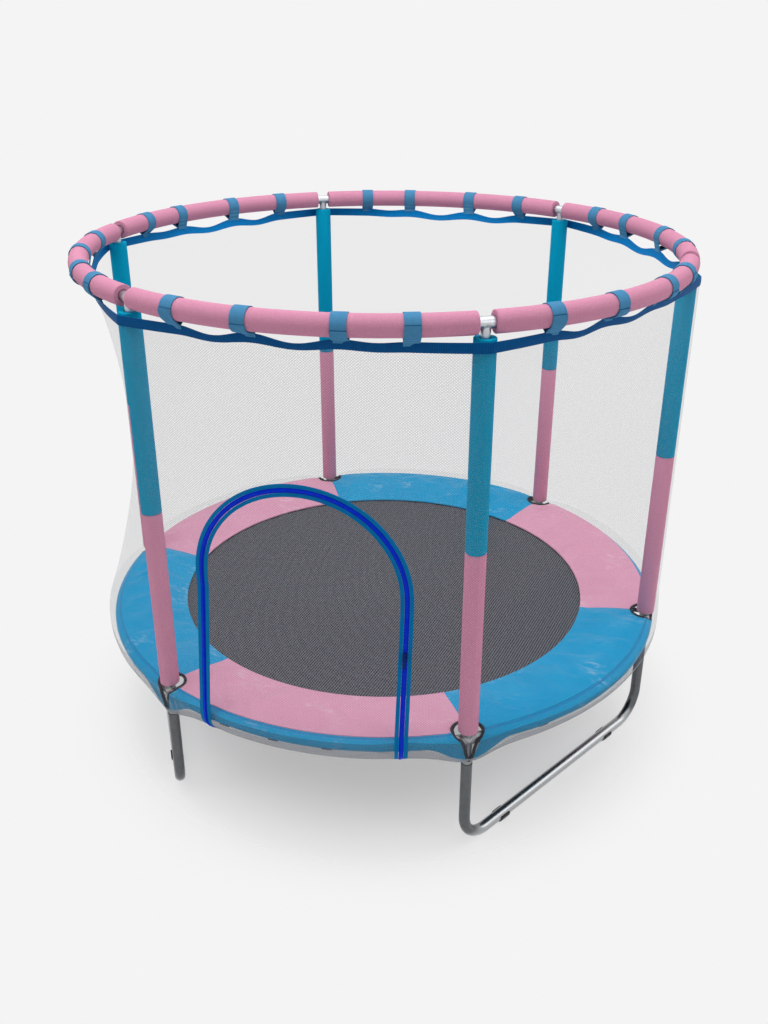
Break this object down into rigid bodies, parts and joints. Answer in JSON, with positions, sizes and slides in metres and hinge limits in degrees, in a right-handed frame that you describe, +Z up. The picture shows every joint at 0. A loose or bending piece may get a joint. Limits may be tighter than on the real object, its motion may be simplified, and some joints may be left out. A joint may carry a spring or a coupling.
{
  "type": "trampoline with safety enclosure",
  "caption": "Round children's trampoline on U-shaped legs, with a padded rim, foam-covered posts, a padded top rail and a net wall with a zipped arched doorway.",
  "frame": {"origin": "on the floor, under the centre of the mat", "axes": "+Z up; the zipped doorway faces -Y; +X to the right as seen from the doorway"},
  "size_m": [1.4354, 1.4354, 1.2349],
  "materials": {
    "galvanised_steel": "bright galvanised tube",
    "plated_steel": "plated wire and zip slider",
    "pink_foam": "closed-cell foam, matt",
    "blue_foam": "closed-cell foam, matt",
    "black_rubber": "moulded rubber",
    "blue_webbing": "woven webbing",
    "navy_hem": "sewn hem band",
    "pale_net": "fine open net",
    "zip_tape": "zip tape",
    "zip_coil": "nylon coil",
    "grey_mat": "woven jumping cloth",
    "black_elastic": "covered elastic band",
    "pink_cover": "glossy coated cloth over foam",
    "blue_cover": "glossy coated cloth over foam",
    "grey_binding": "bias binding"
  },
  "bodies": {
    "frame": {"frame_tube_front": "galvanised_steel", "frame_tube_front_right": "galvanised_steel", "frame_tube_back_right": "galvanised_steel", "frame_tube_back": "galvanised_steel", "frame_tube_back_left": "galvanised_steel", "frame_tube_front_left": "galvanised_steel", "top_rail_front": "galvanised_steel", "top_rail_front_right": "galvanised_steel", "top_rail_back_right": "galvanised_steel", "top_rail_back": "galvanised_steel", "top_rail_back_left": "galvanised_steel", "top_rail_front_left": "galvanised_steel", "posts": "galvanised_steel", "leg_right": "galvanised_steel", "leg_back": "galvanised_steel", "leg_left": "galvanised_steel", "lower_sleeve_1": "pink_foam", "lower_sleeve_2": "pink_foam", "lower_sleeve_3": "pink_foam", "lower_sleeve_4": "pink_foam", "lower_sleeve_5": "pink_foam", "lower_sleeve_6": "pink_foam", "rail_sleeve_front": "pink_foam", "rail_sleeve_front_right": "pink_foam", "rail_sleeve_back_right": "pink_foam", "rail_sleeve_back": "pink_foam", "rail_sleeve_back_left": "pink_foam", "rail_sleeve_front_left": "pink_foam", "upper_sleeve_1": "blue_foam", "upper_sleeve_2": "blue_foam", "upper_sleeve_3": "blue_foam", "upper_sleeve_4": "blue_foam", "upper_sleeve_5": "blue_foam", "upper_sleeve_6": "blue_foam", "foot_clips": "black_rubber", "strap_loops": "blue_webbing", "net_hem": "navy_hem", "net_front": "pale_net", "net_front_right": "pale_net", "net_back_right": "pale_net", "net_back": "pale_net", "net_back_left": "pale_net", "net_front_left": "pale_net", "zip_net_tape": "zip_tape", "zip_coil": "zip_coil", "elastic_bands": "black_elastic", "pad_front": "pink_cover", "pad_front_right": "blue_cover", "pad_back_right": "pink_cover", "pad_back": "blue_cover", "pad_back_left": "pink_cover", "pad_front_left": "blue_cover", "pad_skirt": "blue_cover", "hole_bindings": "grey_binding"},
    "mat": {"mat": "grey_mat", "mat_loops": "plated_steel"},
    "door": {"door_net": "pale_net", "zip_door_tape": "zip_tape"},
    "slider": {"zip_slider": "plated_steel"},
    "pull": {"zip_pull": "plated_steel"}
  },
  "joints": [
    {"name": "mat_bounce", "type": "slide", "parent": "frame", "child": "mat", "axis": [0, 0, 1], "range_m": [-0.15, 0], "stiffness_N_per_m": 3000, "springref_m": 0.012, "deforming": ["elastic_bands"]},
    {"name": "door_fold", "type": "hinge", "parent": "frame", "child": "door", "pos_m": [0, -0.691, 0.262], "axis": [1, 0, 0], "range_deg": [0, 110]},
    {"name": "zip_slide", "type": "slide", "parent": "frame", "child": "slider", "axis": [0, 0.1434, 0.9897], "range_m": [-0.18, 0.08]},
    {"name": "pull_swing", "type": "hinge", "parent": "slider", "child": "pull", "pos_m": [0.22, -0.66166, 0.53675], "axis": [-1, 0, 0], "range_deg": [0, 160]}
  ]
}
